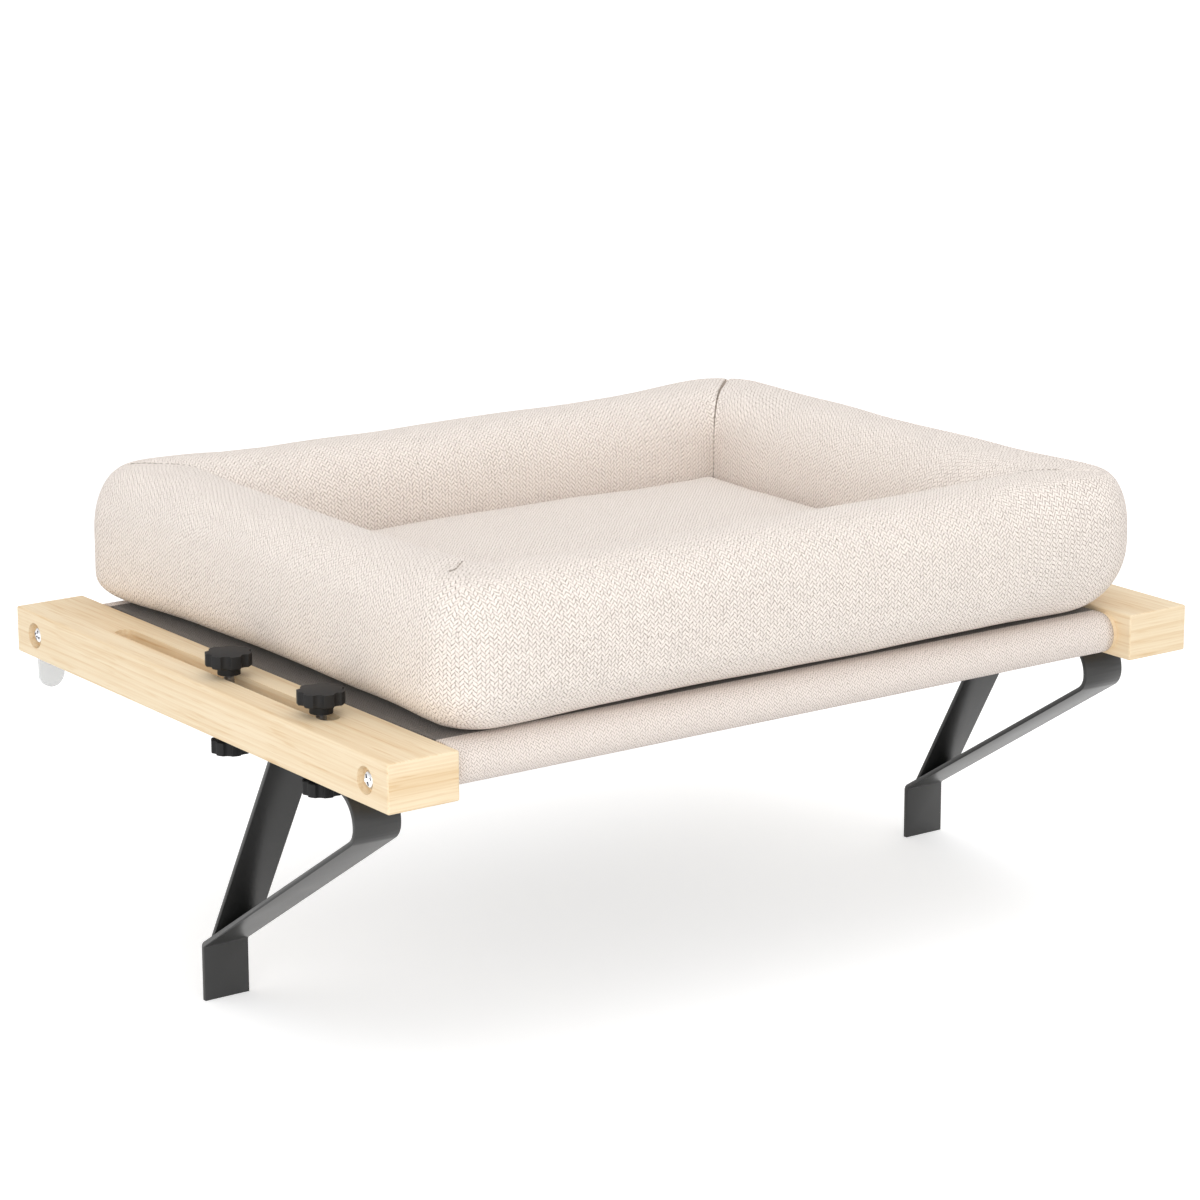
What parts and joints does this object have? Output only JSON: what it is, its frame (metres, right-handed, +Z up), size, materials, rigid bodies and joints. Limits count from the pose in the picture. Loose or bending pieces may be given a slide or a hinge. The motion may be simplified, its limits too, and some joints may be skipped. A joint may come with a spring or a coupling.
{
  "type": "cat radiator bed",
  "caption": "Cat bed for a radiator: timber rails and dowels carry a cloth sling with a bolster cushion, held by sliding steel brackets and clear back plates.",
  "frame": {"origin": "midway between the rails and along them, on the plane of the rails' undersides, which rests on top of the radiator", "axes": "+X along the radiator to the right seen from the room, +Y to the wall, +Z up"},
  "size_m": [0.55, 0.4054, 0.2654],
  "materials": {
    "pine": "smooth planed, clear matt lacquer",
    "beech": "turned round dowel",
    "chrome": "polished",
    "zinc": "zinc plated",
    "brass": "turned",
    "sling_fabric": "fine woven cream cloth",
    "cushion_fabric": "nubby cream weave",
    "black_steel": "matt powder coat",
    "black_plastic": "fine matt moulded",
    "clear_plastic": "clear, slightly frosted"
  },
  "bodies": {
    "frame": {"left_rail": "pine", "right_rail": "pine", "front_dowel": "beech", "rear_dowel": "beech", "left_front_rail_screw": "chrome", "left_rear_rail_screw": "chrome", "right_front_rail_screw": "chrome", "right_rear_rail_screw": "chrome", "sling_cloth": "sling_fabric", "left_back_plate": "clear_plastic", "left_back_plate_screws": "zinc", "right_back_plate": "clear_plastic", "right_back_plate_screws": "zinc"},
    "cushion": {"cushion_front_bolster": "cushion_fabric", "cushion_right_bolster": "cushion_fabric", "cushion_back_bolster": "cushion_fabric", "cushion_left_bolster": "cushion_fabric", "cushion_floor_pad": "cushion_fabric"},
    "left_bracket": {"left_bracket_bar": "black_steel", "left_bracket_strut": "black_steel"},
    "right_bracket": {"right_bracket_bar": "black_steel", "right_bracket_strut": "black_steel"},
    "left_rear_stud_body": {"left_rear_stud": "zinc"},
    "left_rear_knob_body": {"left_rear_knob": "black_plastic"},
    "left_rear_insert_body": {"left_rear_nut_insert": "brass"},
    "left_rear_nut_body": {"left_rear_star_nut": "black_plastic"},
    "left_front_stud_body": {"left_front_stud": "zinc"},
    "left_front_knob_body": {"left_front_knob": "black_plastic"},
    "left_front_insert_body": {"left_front_nut_insert": "brass"},
    "left_front_nut_body": {"left_front_star_nut": "black_plastic"},
    "right_rear_stud_body": {"right_rear_stud": "zinc"},
    "right_rear_knob_body": {"right_rear_knob": "black_plastic"},
    "right_rear_insert_body": {"right_rear_nut_insert": "brass"},
    "right_rear_nut_body": {"right_rear_star_nut": "black_plastic"},
    "right_front_stud_body": {"right_front_stud": "zinc"},
    "right_front_knob_body": {"right_front_knob": "black_plastic"},
    "right_front_insert_body": {"right_front_nut_insert": "brass"},
    "right_front_nut_body": {"right_front_star_nut": "black_plastic"}
  },
  "joints": [
    {"name": "cushion_lift", "type": "slide", "parent": "frame", "child": "cushion", "axis": [0, 0, 1], "range_m": [0, 0.12]},
    {"name": "left_bracket_slide", "type": "slide", "parent": "frame", "child": "left_bracket", "axis": [0, 1, 0], "range_m": [-0.01, 0.118]},
    {"name": "left_rear_stud_travel", "type": "slide", "parent": "left_bracket", "child": "left_rear_stud_body", "axis": [0, 0, 1], "range_m": [-0.0011, 0.002]},
    {"name": "left_rear_knob_turn", "type": "hinge", "parent": "left_rear_stud_body", "child": "left_rear_knob_body", "pos_m": [-0.25325, -0.0065, 0.034], "axis": [0, 0, 1], "range_deg": [-398, 722]},
    {"name": "left_rear_insert_travel", "type": "slide", "parent": "left_bracket", "child": "left_rear_insert_body", "axis": [0, 0, 1], "range_m": [-0.003, 0]},
    {"name": "left_rear_nut_turn", "type": "hinge", "parent": "left_rear_insert_body", "child": "left_rear_nut_body", "pos_m": [-0.25325, -0.0065, -0.01], "axis": [0, 0, 1], "range_deg": [-1082, 2]},
    {"name": "left_front_stud_travel", "type": "slide", "parent": "left_bracket", "child": "left_front_stud_body", "axis": [0, 0, 1], "range_m": [-0.0011, 0.002]},
    {"name": "left_front_knob_turn", "type": "hinge", "parent": "left_front_stud_body", "child": "left_front_knob_body", "pos_m": [-0.25325, -0.1017, 0.034], "axis": [0, 0, 1], "range_deg": [-398, 722]},
    {"name": "left_front_insert_travel", "type": "slide", "parent": "left_bracket", "child": "left_front_insert_body", "axis": [0, 0, 1], "range_m": [-0.003, 0]},
    {"name": "left_front_nut_turn", "type": "hinge", "parent": "left_front_insert_body", "child": "left_front_nut_body", "pos_m": [-0.25325, -0.1017, -0.01], "axis": [0, 0, 1], "range_deg": [-1082, 2]},
    {"name": "right_bracket_slide", "type": "slide", "parent": "frame", "child": "right_bracket", "axis": [0, 1, 0], "range_m": [-0.01, 0.118]},
    {"name": "right_rear_stud_travel", "type": "slide", "parent": "right_bracket", "child": "right_rear_stud_body", "axis": [0, 0, 1], "range_m": [-0.0011, 0.002]},
    {"name": "right_rear_knob_turn", "type": "hinge", "parent": "right_rear_stud_body", "child": "right_rear_knob_body", "pos_m": [0.25325, -0.0065, 0.034], "axis": [0, 0, 1], "range_deg": [-398, 722]},
    {"name": "right_rear_insert_travel", "type": "slide", "parent": "right_bracket", "child": "right_rear_insert_body", "axis": [0, 0, 1], "range_m": [-0.003, 0]},
    {"name": "right_rear_nut_turn", "type": "hinge", "parent": "right_rear_insert_body", "child": "right_rear_nut_body", "pos_m": [0.25325, -0.0065, -0.01], "axis": [0, 0, 1], "range_deg": [-1082, 2]},
    {"name": "right_front_stud_travel", "type": "slide", "parent": "right_bracket", "child": "right_front_stud_body", "axis": [0, 0, 1], "range_m": [-0.0011, 0.002]},
    {"name": "right_front_knob_turn", "type": "hinge", "parent": "right_front_stud_body", "child": "right_front_knob_body", "pos_m": [0.25325, -0.1017, 0.034], "axis": [0, 0, 1], "range_deg": [-398, 722]},
    {"name": "right_front_insert_travel", "type": "slide", "parent": "right_bracket", "child": "right_front_insert_body", "axis": [0, 0, 1], "range_m": [-0.003, 0]},
    {"name": "right_front_nut_turn", "type": "hinge", "parent": "right_front_insert_body", "child": "right_front_nut_body", "pos_m": [0.25325, -0.1017, -0.01], "axis": [0, 0, 1], "range_deg": [-1082, 2]}
  ],
  "couplings": [
    {"joint": "left_rear_knob_turn", "follows": "left_rear_stud_travel", "rad_per_m": 6283.2},
    {"joint": "left_rear_nut_turn", "follows": "left_rear_insert_travel", "rad_per_m": 6283.2},
    {"joint": "left_front_knob_turn", "follows": "left_front_stud_travel", "rad_per_m": 6283.2},
    {"joint": "left_front_nut_turn", "follows": "left_front_insert_travel", "rad_per_m": 6283.2},
    {"joint": "right_rear_knob_turn", "follows": "right_rear_stud_travel", "rad_per_m": 6283.2},
    {"joint": "right_rear_nut_turn", "follows": "right_rear_insert_travel", "rad_per_m": 6283.2},
    {"joint": "right_front_knob_turn", "follows": "right_front_stud_travel", "rad_per_m": 6283.2},
    {"joint": "right_front_nut_turn", "follows": "right_front_insert_travel", "rad_per_m": 6283.2}
  ]
}
